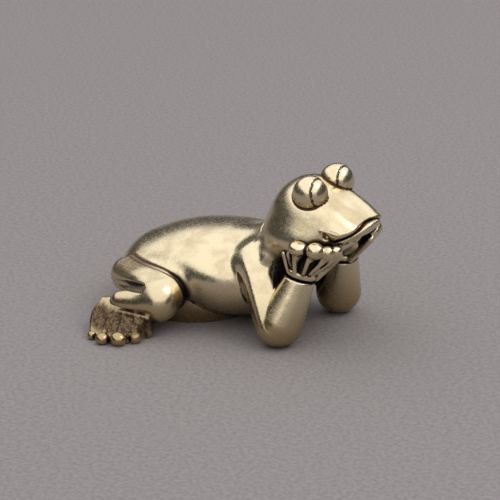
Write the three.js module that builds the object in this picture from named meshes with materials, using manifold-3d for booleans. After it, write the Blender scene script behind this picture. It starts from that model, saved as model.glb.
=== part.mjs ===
// A small cast brass frog lying on its belly, chin held in both hands, elbows on the ground.
// Millimetres, +Z up, the frog looks along +X and is the same on both sides of the XZ plane.
// The whole figure is one casting, so it is one mesh. Its form is a distance field built from
// the sizes below; the left half is described and the other half is its mirror image.
import * as THREE from "three";
import { mergeVertices } from "three/addons/utils/BufferGeometryUtils.js";
import Module from "manifold-3d";

// The sizes are given in a frame that starts on the ground midway between the elbows. In them,
// soft is how widely a form runs into its neighbour, crisp the same for a sharp join, groove
// the half width of the line cut where two forms meet, and fill how widely the corner under
// that line is filled first.
const vec = (x, y, z) => [x, y, z];

// Body: a broad seat at the rear and a torso that rises towards the neck. Low on the flank the
// two meet in a fold, which fades out upwards.
const SEAT = { at: vec(-21.6, 0, 5.2), half: vec(12.2, 12.2, 7.6), down: 9.6 };
const TORSO = { at: vec(-13.4, 0, 8.4), half: vec(13, 11.9, 6.4), down: 7.9 };
const FLANK = { foldTop: 5, blendTop: 9, groove: 0.12, crisp: 0.3, soft: 3 };
const NECK = { from: vec(-8, 0, 9.5), to: vec(0, 0, 16), r0: 5.6, r1: 5, soft: 2.5 };

// Head: a skull and a snout cut off by the slopes of the nose and the cheeks, turned up by its
// pitch, and a level ring of jowl round the bottom of it.
const HEAD = { at: vec(1, 0, 19.5), pitch: 22, groove: 0.25, crisp: 0.4 };
const SKULL = { at: vec(0.3, 0, -2.6), half: vec(8.5, 7.6, 8.6), down: 4 };
const SNOUT = { at: vec(2.55, 0, -2.6), half: vec(8.7, 7.2, 7.4), down: 3.2, soft: 1.5 };
const CHEEK_SLOPE = { at: vec(4.5, -7.1, -3), normal: vec(0.35, -0.87, 0.34), soft: 1.5 };
const NOSE_SLOPE = { at: vec(3.37, 0, 4.44), normal: vec(0.777, 0, 0.629), soft: 1.9 };
const JAW = { at: vec(2.2, 0, -3), half: vec(8.5, 6.8, 5), down: 3.6, bottom: -5.4, soft: 0.8 };
const JOWL = { at: vec(0.6, 0, 16.5), half: vec(6.9, 7.9, 3.2), soft: 2 };

// Mouth: the height of its line in the middle, how far it dips to the side, and how its corner
// turns up. It is cut forward of its back, with a roll on each lip and a pit at the corner.
const MOUTH = { height: -3.15, gap: 0.45, upperEdge: 0.3, lowerEdge: 0.25 };
const MOUTH_DIP = { depth: 1.15, from: 0.5, to: 5 };
const MOUTH_CORNER = { rise: 1.8, from: 5.6, to: 6.9 };
const MOUTH_BACK = { from: 4.6, to: 5.6 };
const LIP_ROLL = { height: 0.3, above: 0.5, width: 0.5, from: 1.5, to: 5 };
const LOWER_ROLL = { height: 0.25, below: 0.75, width: 0.4 };
const CORNER_PIT = { at: vec(5.4, -6.9, -3.7), half: vec(0.9, 1, 1.2), soft: 0.4 };

// Eyes: a domed lid cut off across the front, with the eyeball bulging out of it, turned down a
// little from the head's pitch.
const LID = { at: vec(3.35, -3.85, 3.45), r: 2.75, front: 1.5, edge: 0.3, groove: 0.12, crisp: 0.35 };
const EYEBALL = { at: vec(1.35, 0, 0), half: vec(1.35, 2.1, 2.2), turn: 11, groove: 0.1, crisp: 0.08 };

// Arm: shoulder, elbow and wrist, with the forearm leaning forward to the cheek. The upper arm
// is flat in front, and the crook of the arm is a crisp crease that softens towards the elbow.
const UPPER_ARM = { from: vec(-5.5, -6.9, 11.8), to: vec(0, -9.7, 3.3), r0: 2.6, r1: 2.85 };
const ARM_FACET = { out: 2.25, normal: vec(0.47, -0.7, 0.54), edge: 0.25 };
const SHOULDER_PAD = { at: vec(-4.9, -6.1, 12.4), half: vec(2.7, 2.4, 2.6), soft: 1.2 };
const SHOULDER_KNOB = { at: vec(-3.4, -6.7, 12.9), r: 1.3, soft: 0.5 };
const WRIST = vec(2.7, -6.4, 10.65);
const FOREARM = { from: vec(0.5, -8.6, 3.6), r0: 3.65, r1: 2.35, cut: 0.1, edge: 0.25 };
const CROOK = { from: 1, to: 3, soft: 1, crisp: 0.25 };
const CUFF = { tilt: vec(0.16, 0.22, 0.94), along: 0.95, r: 2.35, half: 0.55, edge: 0.5, crisp: 0.12 };

// Hand: four fingers spread from the cuff to ball tips under the cheek, a fifth behind and a
// thumb. Each finger is a ridge some layers deep, so that it stands out from the palm.
const HAND = { core: vec(4.2, -5, 13.2), crisp: 0.2, soft: 0.3, bodyCrisp: 0.15 };
const PALM = { depth: 0.74, r0: 1.05, r1: 1.2, soft: 1.2 };
const FINGER = { root: 0.28, mid: 0.34, end: 0.95, depth: 0.1, slim: 0.02, layers: 4 };
const FINGER_LINES = [
  { root: vec(2.95, -8.35, 12.1), mid: vec(3, -8.5, 14.4), tip: vec(3.65, -8.55, 16.55) },
  { root: vec(4.3, -8, 12.2), mid: vec(5.4, -8.4, 14.7), tip: vec(6.5, -8.1, 16.55) },
  { root: vec(5, -7.2, 12.1), mid: vec(7, -7.4, 14.3), tip: vec(8.1, -7.05, 16.25) },
  { root: vec(5.2, -6.2, 11.9), mid: vec(7.5, -6, 14), tip: vec(8.7, -5.6, 16.2) },
];
const FINGERTIPS = [vec(1.55, 1.4, 1.1), vec(1.45, 1.4, 1.3), vec(1, 1.05, 1.1), vec(0.8, 0.85, 0.9)];
const REAR_FINGER = { from: vec(1.4, -7.6, 11.9), to: vec(0.75, -8, 15), r0: 0.3, r1: 0.4 };
const REAR_LAYERS = { step: vec(0.6, 0.5, 0), count: 3 };
const THUMB = { from: vec(4.8, -5, 10.9), to: vec(8.7, -4.6, 15.2), r0: 0.55, r1: 0.6 };

// Hind leg: folded, the shin lying under the thigh with a slot between them.
const THIGH = { from: vec(-28, -9.6, 6.1), to: vec(-18.6, -14.2, 6.4), r0: 2.9, r1: 3.1 };
const SHIN = { from: vec(-18.3, -15.3, 5.2), to: vec(-24.2, -16.4, 4.3), r0: 3, r1: 1.9, soft: 1.8 };
const SLOT = { from: vec(-20.4, -16.9, 7.6), to: vec(-29.6, -12.8, 5.3), r0: 0.75, r1: 0.7, edge: 0.3 };
const SLOT_LAYERS = { step: vec(-0.5, 0.75, -0.3), count: 2 };

// Foot: a sloping web in the shape of a fan under the ankle, five ridges on it from the instep,
// and a ball at each toe.
const WEB = { at: vec(-23, -18, 0), rear: 5.2, front: 4.7, out: 5.3, edge: 0.5, scale: 5 };
const WEB_TOP = { height: 3.75, fall: 0.57, most: 3.7 };
const WEB_RIM = { from: vec(-23.9, -18.8, 3.6), to: vec(-17.9, -18.3, 3.5), r0: 0.35, r1: 0.4 };
const HEEL = { from: vec(-25.3, -16.6, 3.3), to: vec(-24.4, -17.6, 2.2), r0: 1.4, r1: 2.1, soft: 1 };
const INSTEP = { from: vec(-27.4, -17.1, 0), to: vec(-18.1, -17.9, 0) };
const TOES = { reachX: 4.8, reachY: 5.7, first: -117, step: 30.5, sink: 0.12, crisp: 0.15 };
const TOE_BALLS = [
  vec(0.75, 0.75, 0.75),
  vec(1.1, 1.1, 0.95),
  vec(1.35, 1.25, 1.1),
  vec(1.05, 1.1, 1),
  vec(0.75, 0.8, 0.8),
];
const RIDGE = { r: 0.34, end: 0.5, proud: 0.05, crisp: 0.35 };
const OUTER_RIDGE = { r: 0.45, root: vec(-27.4, -17.1, 4.2), bow: vec(-1.2, 0.9, 0.3) };

// Where the limbs meet the body: a groove, which gives way to a soft shoulder higher up.
const LIMBS = { groove: 0.25, crisp: 0.4, soft: 3, softFrom: 10.5, softTo: 13.5 };
const ARM_FILL = 1.2;
const LEG_FILL = { rear: 1.2, knee: 3, from: -25, to: -19 };

// The form goes on a little below the ground, to be ground off flat.
const BELOW_GROUND = -1;

// Mesh: the spacing of the samples, and the number of triangles kept after thinning.
const CELL = 0.5;
const TRIANGLES = 9000;
const FIELD_MIN = vec(-36, -26, -2);
const FIELD_MAX = vec(14, 0, 30);

// Vectors and soft joins of distances.
const ORIGIN = vec(0, 0, 0);
const rad = (deg) => (deg * Math.PI) / 180;
const add = (a, b) => [a[0] + b[0], a[1] + b[1], a[2] + b[2]];
const less = (a, b) => [a[0] - b[0], a[1] - b[1], a[2] - b[2]];
const scale = (a, s) => [a[0] * s, a[1] * s, a[2] * s];
const dot = (a, b) => a[0] * b[0] + a[1] * b[1] + a[2] * b[2];
const cross = (a, b) => [a[1] * b[2] - a[2] * b[1], a[2] * b[0] - a[0] * b[2], a[0] * b[1] - a[1] * b[0]];
const length = (a) => Math.hypot(a[0], a[1], a[2]);
const unit = (a) => scale(a, 1 / length(a));
const mix = (a, b, t) => a + (b - a) * t;
const between = (a, b, t) => [mix(a[0], b[0], t), mix(a[1], b[1], t), mix(a[2], b[2], t)];

function ramp(from, to, x) {
  const t = Math.min(1, Math.max(0, (x - from) / (to - from)));
  return t * t * (3 - 2 * t);
}

function join(a, b, soft) {
  const h = Math.max(soft - Math.abs(a - b), 0) / soft;
  return Math.min(a, b) - h * h * soft * 0.25;
}

const meet = (a, b, soft) => -join(-a, -b, soft);

// Two forms joined with a round groove cut along the line where they meet.
const SHARP_FILL = 0.02;
function joinWithGroove(a, b, width, soft, fill = SHARP_FILL) {
  const top = fill / 4;
  return meet(join(a, b, fill), width - Math.hypot(a - top, b - top), soft);
}

// Distances to simple forms.
const ball = (p, c, r) => Math.hypot(p[0] - c[0], p[1] - c[1], p[2] - c[2]) - r;
const plane = (p, at, normal) => dot(less(p, at), normal);

function ellipsoid(p, { at, half, down = half[2] }) {
  const x = (p[0] - at[0]) / half[0];
  const y = (p[1] - at[1]) / half[1];
  const high = p[2] > at[2] ? half[2] : down;
  const z = (p[2] - at[2]) / high;
  const k0 = Math.hypot(x, y, z);
  const k1 = Math.hypot(x / half[0], y / half[1], z / high);
  return (k0 * (k0 - 1)) / Math.max(k1, 1e-9);
}

// A rod with round ends, whose radius goes from r0 to r1.
function rod(p, { from, to, r0, r1 }) {
  const along = less(to, from);
  const off = less(p, from);
  const l2 = dot(along, along);
  const rr = r0 - r1;
  const a2 = l2 - rr * rr;
  const y = dot(off, along);
  const z = y - l2;
  const side = less(scale(off, l2), scale(along, y));
  const x2 = dot(side, side);
  const y2 = y * y * l2;
  const z2 = z * z * l2;
  const k = Math.sign(rr) * rr * rr * x2;
  if (Math.sign(z) * a2 * z2 > k) return Math.sqrt(x2 + z2) / l2 - r1;
  if (Math.sign(y) * a2 * y2 < k) return Math.sqrt(x2 + y2) / l2 - r0;
  return (Math.sqrt((x2 * a2) / l2) + y * rr) / l2 - r0;
}

function body(p) {
  const seat = ellipsoid(p, SEAT);
  const torso = ellipsoid(p, TORSO);
  const folded = joinWithGroove(seat, torso, FLANK.groove, FLANK.crisp);
  const smooth = join(seat, torso, FLANK.soft);
  const trunk = mix(folded, smooth, ramp(FLANK.foldTop, FLANK.blendTop, p[2]));
  return join(trunk, rod(p, NECK), NECK.soft);
}

// The head's own axes: forward along the pitch and up across it.
const PITCH_COS = Math.cos(rad(HEAD.pitch));
const PITCH_SIN = Math.sin(rad(HEAD.pitch));

function inHead(p) {
  const x = p[0] - HEAD.at[0];
  const z = p[2] - HEAD.at[2];
  return [x * PITCH_COS + z * PITCH_SIN, p[1], z * PITCH_COS - x * PITCH_SIN];
}

function mouthLine(side) {
  const dip = MOUTH_DIP.depth * ramp(MOUTH_DIP.from, MOUTH_DIP.to, side);
  const corner = MOUTH_CORNER.rise * ramp(MOUTH_CORNER.from, MOUTH_CORNER.to, side);
  return MOUTH.height - dip + corner;
}

// Behind the mouth's back the two jaws overlap by far, so that no gap is left there.
const SHUT = 30;

function face(q) {
  let skull = join(ellipsoid(q, SKULL), ellipsoid(q, SNOUT), SNOUT.soft);
  skull = meet(skull, plane(q, CHEEK_SLOPE.at, unit(CHEEK_SLOPE.normal)), CHEEK_SLOPE.soft);
  const side = Math.abs(q[1]);
  const mouth = q[2] - mouthLine(side);
  const front = ramp(MOUTH_BACK.from, MOUTH_BACK.to, q[0]);
  const shut = SHUT * (1 - front);
  const roll = (mouth - LIP_ROLL.above) / LIP_ROLL.width;
  const lip = LIP_ROLL.height * front * ramp(LIP_ROLL.from, LIP_ROLL.to, side) * Math.exp(-roll * roll);
  const top = meet(skull, plane(q, NOSE_SLOPE.at, unit(NOSE_SLOPE.normal)), NOSE_SLOPE.soft) - lip;
  const under = (mouth + LOWER_ROLL.below) / LOWER_ROLL.width;
  const lowerLip = LOWER_ROLL.height * front * Math.exp(-under * under);
  const jaw = meet(ellipsoid(q, JAW), JAW.bottom - q[2], JAW.soft) - lowerLip;
  const upper = meet(top, -mouth - shut, MOUTH.upperEdge);
  const lower = meet(jaw, mouth + MOUTH.gap - shut, MOUTH.lowerEdge);
  return meet(Math.min(upper, lower), -ellipsoid(q, CORNER_PIT), CORNER_PIT.soft);
}

const EYE_COS = Math.cos(rad(EYEBALL.turn));
const EYE_SIN = Math.sin(rad(EYEBALL.turn));

function head(p) {
  const q = inHead(p);
  const off = less(q, LID.at);
  const level = [off[0] * EYE_COS - off[2] * EYE_SIN, off[1], off[0] * EYE_SIN + off[2] * EYE_COS];
  const lid = meet(ball(off, ORIGIN, LID.r), level[0] - LID.front, LID.edge);
  const skull = join(face(q), ellipsoid(p, JOWL), JOWL.soft);
  const socketed = joinWithGroove(skull, lid, LID.groove, LID.crisp);
  return joinWithGroove(socketed, ellipsoid(level, EYEBALL), EYEBALL.groove, EYEBALL.crisp);
}

const CUFF_AXIS = unit(CUFF.tilt);
const CUFF_AT = add(WRIST, scale(CUFF_AXIS, CUFF.along));
const FOREARM_ROD = { ...FOREARM, to: WRIST };

const FACET_AT = between(UPPER_ARM.from, UPPER_ARM.to, 0.5);
const FACET_NORMAL = unit(ARM_FACET.normal);

function arm(p) {
  let upper = join(rod(p, UPPER_ARM), ellipsoid(p, SHOULDER_PAD), SHOULDER_PAD.soft);
  upper = meet(upper, plane(p, FACET_AT, FACET_NORMAL) - ARM_FACET.out, ARM_FACET.edge);
  upper = join(upper, ball(p, SHOULDER_KNOB.at, SHOULDER_KNOB.r), SHOULDER_KNOB.soft);
  const fore = meet(rod(p, FOREARM_ROD), plane(p, WRIST, CUFF_AXIS) - FOREARM.cut, FOREARM.edge);
  const soft = join(upper, fore, CROOK.soft);
  const crisp = join(upper, fore, CROOK.crisp);
  return mix(soft, crisp, ramp(CROOK.from, CROOK.to, p[2]));
}

// The two rods of each layer of a finger, from its front towards the palm.
const FINGER_RODS = FINGER_LINES.map((line) =>
  Array.from({ length: FINGER.layers }, (_, layer) => {
    const inward = (at) => between(at, HAND.core, layer * FINGER.depth);
    const radius = (r) => r - layer * FINGER.slim;
    const mid = inward(line.mid);
    return [
      { from: inward(line.root), to: mid, r0: radius(FINGER.root), r1: radius(FINGER.mid) },
      { from: mid, to: inward(line.tip), r0: radius(FINGER.mid), r1: radius(FINGER.end) },
    ];
  }),
);

// The part of the palm behind each finger.
const PALM_RODS = FINGER_LINES.map(({ tip }) => ({
  from: CUFF_AT,
  to: between(tip, HAND.core, PALM.depth),
  r0: PALM.r0,
  r1: PALM.r1,
}));

function hand(p) {
  let d = PALM_RODS.map((part) => rod(p, part)).reduce((a, b) => join(a, b, PALM.soft));
  FINGER_RODS.forEach((layers, i) => {
    let finger = ellipsoid(p, { at: FINGER_LINES[i].tip, half: FINGERTIPS[i] });
    for (const [low, high] of layers) finger = join(finger, Math.min(rod(p, low), rod(p, high)), HAND.soft);
    d = join(d, finger, HAND.crisp);
  });
  for (let i = 0; i < REAR_LAYERS.count; i++)
    d = join(d, rod(less(p, scale(REAR_LAYERS.step, i)), REAR_FINGER), HAND.soft);
  d = join(d, rod(p, THUMB), HAND.soft);
  const off = less(p, CUFF_AT);
  const along = dot(off, CUFF_AXIS);
  const out = Math.sqrt(Math.max(dot(off, off) - along * along, 0));
  return join(d, meet(out - CUFF.r, Math.abs(along) - CUFF.half, CUFF.edge), CUFF.crisp);
}

function leg(p) {
  let d = join(rod(p, THIGH), rod(p, SHIN), SHIN.soft);
  for (let i = 0; i < SLOT_LAYERS.count; i++)
    d = meet(d, -rod(less(p, scale(SLOT_LAYERS.step, i)), SLOT), SLOT.edge);
  return d;
}

// The same place at the height of a ridge's centre line on the web.
const onWeb = ([x, y]) => {
  const slope = WEB_TOP.height + WEB_TOP.fall * (y - WEB.at[1]);
  return [x, y, Math.min(slope, WEB_TOP.most) + RIDGE.proud];
};

// Each toe's ball on the rim of the fan, and the two rods of the ridge that runs to it.
const TOE_FORMS = TOE_BALLS.map((half, i) => {
  const angle = rad(TOES.first + TOES.step * i);
  const reach = vec(Math.cos(angle) * TOES.reachX, Math.sin(angle) * TOES.reachY, half[2] - TOES.sink);
  const at = add(WEB.at, reach);
  const outer = i === 0;
  const r = outer ? OUTER_RIDGE.r : RIDGE.r;
  const root = outer ? OUTER_RIDGE.root : onWeb(between(INSTEP.from, INSTEP.to, i / (TOE_BALLS.length - 1)));
  const middle = between(root, at, 0.5);
  const mid = outer ? add(middle, OUTER_RIDGE.bow) : onWeb(middle);
  const ridge = [{ from: root, to: mid, r0: r, r1: r }, { from: mid, to: at, r0: r, r1: RIDGE.end }];
  return { ball: { at, half }, ridge };
});

const WEB_SLOPE = unit(vec(0, -WEB_TOP.fall, 1));

// The fan's outline is measured as a ratio; its scale makes it a distance again.
function foot(p) {
  const [x, y] = less(p, WEB.at);
  const outline = (Math.hypot(x / (x > 0 ? WEB.front : WEB.rear), y / WEB.out) - 1) * WEB.scale;
  const slope = dot([x, y, p[2] - WEB_TOP.height], WEB_SLOPE);
  const web = meet(meet(outline, slope, WEB.edge), p[2] - WEB_TOP.most, WEB.edge);
  let d = join(web, rod(p, HEEL), HEEL.soft);
  for (const toe of TOE_FORMS) {
    d = join(d, Math.min(...toe.ridge.map((part) => rod(p, part))), RIDGE.crisp);
    d = join(d, ellipsoid(p, toe.ball), TOES.crisp);
  }
  return join(d, rod(p, WEB_RIM), HAND.soft);
}

// The whole figure: negative inside.
function frog(x, y, z) {
  const p = [x, -Math.abs(y), z];
  let d = joinWithGroove(body(p), head(p), HEAD.groove, HEAD.crisp);
  const limb = arm(p);
  const creased = joinWithGroove(d, limb, LIMBS.groove, LIMBS.crisp, ARM_FILL);
  d = mix(creased, join(d, limb, LIMBS.soft), ramp(LIMBS.softFrom, LIMBS.softTo, z));
  d = join(d, hand(p), HAND.bodyCrisp);
  const fill = mix(LEG_FILL.rear, LEG_FILL.knee, ramp(LEG_FILL.from, LEG_FILL.to, x));
  d = joinWithGroove(d, leg(p), LIMBS.groove, LIMBS.crisp, fill);
  d = join(d, foot(p), HAND.soft);
  return Math.max(d, BELOW_GROUND - z);
}

// The normal of a triangle, as long as twice its area.
const across = (a, b, c) => cross(less(b, a), less(c, a));

// Samples the left half on a grid; blocks far from the surface keep the value at their middle.
const BLOCK = 4;
const count = FIELD_MIN.map((low, i) => BLOCK * Math.ceil((FIELD_MAX[i] - low) / (CELL * BLOCK)));
const origin = [FIELD_MIN[0], FIELD_MAX[1] - count[1] * CELL, FIELD_MIN[2]];
const strideX = (count[1] + 1) * (count[2] + 1);
const strideY = count[2] + 1;
const index = (i, j, k) => i * strideX + j * strideY + k;
const place = (i, j, k) => [origin[0] + i * CELL, origin[1] + j * CELL, origin[2] + k * CELL];

function sampleField() {
  const values = new Float64Array((count[0] + 1) * strideX);
  const reach = BLOCK * CELL * 1.6;
  for (let i = 0; i <= count[0]; i += BLOCK)
    for (let j = 0; j <= count[1]; j += BLOCK)
      for (let k = 0; k <= count[2]; k += BLOCK) {
        const half = BLOCK / 2;
        const far = frog(...place(i + half, j + half, k + half));
        for (let a = i; a < i + BLOCK && a <= count[0]; a++)
          for (let b = j; b < j + BLOCK && b <= count[1]; b++)
            for (let c = k; c < k + BLOCK && c <= count[2]; c++)
              values[index(a, b, c)] = Math.abs(far) > reach ? far : frog(...place(a, b, c));
      }
  return values;
}

// The six tetrahedra of a cell, each a walk from its low corner to its high one.
const WALKS = [[0, 1, 2], [0, 2, 1], [1, 0, 2], [1, 2, 0], [2, 0, 1], [2, 1, 0]];

function traceSurface(values) {
  const points = [];
  const faces = [];
  const known = new Map();
  const total = values.length;
  const where = (n) => place(Math.floor(n / strideX), Math.floor((n % strideX) / strideY), n % strideY);

  // The point of the surface on the line between an inner and an outer sample.
  function crossing(inner, outer) {
    const key = Math.min(inner, outer) * total + Math.max(inner, outer);
    if (known.has(key)) return known.get(key);
    const a = where(inner);
    const b = where(outer);
    let low = 0;
    let high = 1;
    let t = values[inner] / (values[inner] - values[outer]);
    for (let pass = 0; pass < 3; pass++) {
      const value = frog(...between(a, b, t));
      if (value < 0) low = t;
      else high = t;
      t = mix(low, high, 0.5);
    }
    points.push(between(a, b, Math.min(0.97, Math.max(0.03, t))));
    known.set(key, points.length - 1);
    return points.length - 1;
  }

  function emit(a, b, c, from, to) {
    const normal = across(points[a], points[b], points[c]);
    const outward = less(where(to), where(from));
    faces.push(dot(normal, outward) > 0 ? [a, b, c] : [a, c, b]);
  }

  const steps = [strideX, strideY, 1];
  for (let i = 0; i < count[0]; i++)
    for (let j = 0; j < count[1]; j++)
      for (let k = 0; k < count[2]; k++)
        for (const walk of WALKS) {
          const corners = [index(i, j, k)];
          for (const axis of walk) corners.push(corners.at(-1) + steps[axis]);
          const inside = corners.filter((n) => values[n] < 0);
          const outside = corners.filter((n) => values[n] >= 0);
          if (!inside.length || !outside.length) continue;
          if (inside.length === 2) {
            const [a, b] = inside;
            const [c, d] = outside;
            const [ac, bc, bd, ad] = [crossing(a, c), crossing(b, c), crossing(b, d), crossing(a, d)];
            emit(ac, bc, bd, a, c);
            emit(ac, bd, ad, a, d);
          } else {
            const [lone] = inside.length === 1 ? inside : outside;
            const rest = inside.length === 1 ? outside : inside;
            const cut = rest.map((n) => (inside.length === 1 ? crossing(lone, n) : crossing(n, lone)));
            const [from, to] = inside.length === 1 ? [lone, rest[0]] : [rest[0], lone];
            emit(...cut, from, to);
          }
        }
  return { points, faces };
}

// Keeps the outer skin: of the sheets that hang together, the one with the most faces.
function outerSkin({ points, faces }) {
  const lead = points.map((_, n) => n);
  const find = (n) => {
    while (lead[n] !== n) n = lead[n] = lead[lead[n]];
    return n;
  };
  for (const [a, b, c] of faces) {
    lead[find(b)] = find(a);
    lead[find(c)] = find(a);
  }
  const sizes = new Map();
  for (const [a] of faces) sizes.set(find(a), (sizes.get(find(a)) ?? 0) + 1);
  const most = Math.max(...sizes.values());
  return { points, faces: faces.filter(([a]) => sizes.get(find(a)) === most) };
}

// Limits on thinning: the pull towards an edge's middle, how far a face may turn (the cosine),
// and how slim it may get beside its longest side.
const HOLD = 0.002;
const LEAST_FOLD = 0.35;
const LEAST_WIDTH = 0.05;
const TINY = 1e-9;

// A triangle's width beside its longest side.
function slimness(corners) {
  const longest = Math.max(...corners.map((at, i) => length(less(at, corners[(i + 1) % 3]))));
  return length(across(...corners)) / (longest * longest + TINY);
}

// How much the form matters at a point: more on the hand, the face and the foot.
const CARE = [
  { at: vec(5, -7.5, 14), r: 6, weight: 5 },
  { at: vec(8, -4, 19.5), r: 6, weight: 3 },
  { at: vec(3, -4, 24), r: 4, weight: 4 },
  { at: vec(-22.5, -20, 2), r: 7, weight: 3 },
];
const care = (p) => Math.max(1, ...CARE.map((zone) => (ball(p, zone.at, zone.r) < 0 ? zone.weight : 1)));

// A heap of candidate edges, cheapest on top.
class Queue {
  items = [];

  push(item) {
    const { items } = this;
    let at = items.push(item) - 1;
    while (at > 0 && items[(at - 1) >> 1].cost > item.cost) {
      items[at] = items[(at - 1) >> 1];
      at = (at - 1) >> 1;
    }
    items[at] = item;
  }

  pop() {
    const { items } = this;
    const top = items[0];
    const last = items.pop();
    if (!items.length) return top;
    let at = 0;
    for (;;) {
      let child = 2 * at + 1;
      if (child >= items.length) break;
      if (child + 1 < items.length && items[child + 1].cost < items[child].cost) child++;
      if (items[child].cost >= last.cost) break;
      items[at] = items[child];
      at = child;
    }
    items[at] = last;
    return top;
  }
}

// Thins the half mesh, collapsing first the edges that change the form least. Points on the
// plane of symmetry stay on it.
function thin({ points, faces }, target) {
  const middle = points.map((p) => Math.abs(p[1]) < 1e-9);
  const around = points.map(() => new Set());
  const error = points.map(() => new Float64Array(10));
  const stamp = new Int32Array(points.length);
  faces.forEach((face) => {
    const at = points[face[0]];
    const normal = across(...face.map((n) => points[n]));
    const size = length(normal);
    if (size < TINY) return;
    const [x, y, z] = scale(normal, 1 / size);
    const d = -dot([x, y, z], at);
    const terms = [x * x, x * y, x * z, y * y, y * z, z * z, x * d, y * d, z * d, d * d];
    for (const n of face) terms.forEach((value, i) => (error[n][i] += size * value));
  });
  faces.forEach((face, f) => face.forEach((n) => around[n].add(f)));

  // The best place for the point that takes the place of two, and what it costs.
  function best(u, v) {
    const q = error[u].map((value, i) => value + error[v][i]);
    const weight = q[0] + q[3] + q[5] + TINY;
    const hold = HOLD * weight;
    const m = between(points[u], points[v], 0.5);
    const flat = middle[u] || middle[v];
    if (flat) m[1] = 0;
    const [xx, xy, xz, yy, yz, zz] = [q[0] + hold, q[1], q[2], q[3] + hold, q[4], q[5] + hold];
    const [bx, by, bz] = [hold * m[0] - q[6], hold * m[1] - q[7], hold * m[2] - q[8]];
    let at;
    if (flat) {
      const det = xx * zz - xz * xz;
      at = [(bx * zz - bz * xz) / det, 0, (bz * xx - bx * xz) / det];
    } else {
      const [c0, c1, c2] = [yy * zz - yz * yz, xz * yz - xy * zz, xy * yz - xz * yy];
      const det = xx * c0 + xy * c1 + xz * c2;
      at = [
        (bx * c0 + by * c1 + bz * c2) / det,
        (bx * c1 + by * (xx * zz - xz * xz) + bz * (xz * xy - xx * yz)) / det,
        (bx * c2 + by * (xz * xy - xx * yz) + bz * (xx * yy - xy * xy)) / det,
      ];
    }
    const [x, y, z] = at;
    const squares = q[0] * x * x + q[3] * y * y + q[5] * z * z;
    const products = q[1] * x * y + q[2] * x * z + q[4] * y * z;
    const linear = q[6] * x + q[7] * y + q[8] * z;
    const away = length(less(at, m));
    const strayed = (squares + 2 * products + 2 * linear + q[9]) / weight + HOLD * away * away;
    return { at, cost: strayed * care(m) };
  }

  const near = (n) => new Set([...around[n]].flatMap((f) => faces[f]).filter((other) => other !== n));
  const queue = new Queue();
  const offer = (u, v) => queue.push({ ...best(u, v), u, v, su: stamp[u], sv: stamp[v] });
  points.forEach((_, u) => near(u).forEach((v) => v > u && offer(u, v)));

  // A collapse is refused if it would pinch the surface, fold a face or leave a sliver.
  function allowed(u, v, at) {
    const shared = [...around[u]].filter((f) => around[v].has(f));
    const [nu, nv] = [near(u), near(v)];
    const common = [...nu].filter((n) => nv.has(n));
    if (common.length !== shared.length) return false;
    if (middle[u] && middle[v] && shared.length !== 1) return false;
    for (const n of [u, v])
      for (const f of around[n]) {
        if (shared.includes(f)) continue;
        const before = faces[f].map((i) => points[i]);
        const after = faces[f].map((i) => (i === n ? at : points[i]));
        const [was, now] = [across(...before), across(...after)];
        if (dot(was, now) < LEAST_FOLD * length(was) * length(now)) return false;
        if (slimness(after) < LEAST_WIDTH) return false;
      }
    return true;
  }

  let left = faces.length;
  while (left > target && queue.items.length) {
    const { at, u, v, su, sv } = queue.pop();
    if (stamp[u] !== su || stamp[v] !== sv || !allowed(u, v, at)) continue;
    for (const f of [...around[v]]) {
      if (faces[f].includes(u)) {
        faces[f].forEach((n) => around[n].delete(f));
        faces[f] = null;
        left--;
      } else {
        faces[f] = faces[f].map((n) => (n === v ? u : n));
        around[u].add(f);
      }
    }
    around[v].clear();
    points[u] = at;
    middle[u] ||= middle[v];
    error[v].forEach((value, i) => (error[u][i] += value));
    stamp[u]++;
    stamp[v]++;
    near(u).forEach((n) => offer(u, n));
  }
  return { points, faces: faces.filter((face) => face) };
}

// Both halves as one indexed mesh.
function mirrored({ points, faces }) {
  const used = [...new Set(faces.flat())];
  const right = new Map(used.map((n, i) => [n, i]));
  const all = used.map((n) => points[n]);
  const left = new Map(used.map((n) => {
    if (Math.abs(points[n][1]) < 1e-9) return [n, right.get(n)];
    all.push([points[n][0], -points[n][1], points[n][2]]);
    return [n, all.length - 1];
  }));
  const both = [
    ...faces.map((face) => face.map((n) => right.get(n))),
    ...faces.map((face) => face.map((n) => left.get(n)).reverse()),
  ];
  return { points: all, faces: both };
}

const wasm = await Module();
wasm.setup();
const solid = (vertices, triangles) =>
  new wasm.Manifold(
    new wasm.Mesh({
      numProp: 3,
      vertProperties: new Float32Array(vertices),
      triVerts: new Uint32Array(triangles),
    }),
  );

const half = thin(outerSkin(traceSurface(sampleField())), TRIANGLES / 2);
const whole = mirrored(half);
const casting = solid(whole.points.flat(), whole.faces.flat());

// The casting is ground flat where it rests.
const ABOVE_GROUND = 60;
const block = new THREE.BoxGeometry(2 * ABOVE_GROUND, 2 * ABOVE_GROUND, ABOVE_GROUND);
block.translate(0, 0, ABOVE_GROUND / 2);
block.deleteAttribute("normal");
block.deleteAttribute("uv");
const above = mergeVertices(block);
const rested = casting.intersect(solid(above.attributes.position.array, above.index.array)).getMesh();

// The origin goes to the middle of the footprint, on the ground.
const geometry = new THREE.BufferGeometry()
  .setAttribute("position", new THREE.BufferAttribute(rested.vertProperties, rested.numProp))
  .setIndex(new THREE.BufferAttribute(rested.triVerts, 1));
geometry.computeBoundingBox();
const { min, max } = geometry.boundingBox;
geometry.translate(-(min.x + max.x) / 2, -(min.y + max.y) / 2, -min.z);
geometry.computeVertexNormals();

const brass = new THREE.MeshStandardMaterial({ color: 0xb5a36f, metalness: 1, roughness: 0.28 });
const figure = new THREE.Mesh(geometry, brass);
figure.name = "frog";

const group = new THREE.Group();
group.name = "brass_frog";
group.add(figure);
export default group;
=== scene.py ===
"""A small cast brass frog with its chin in its hands, on a pale floor."""

import math

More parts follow.
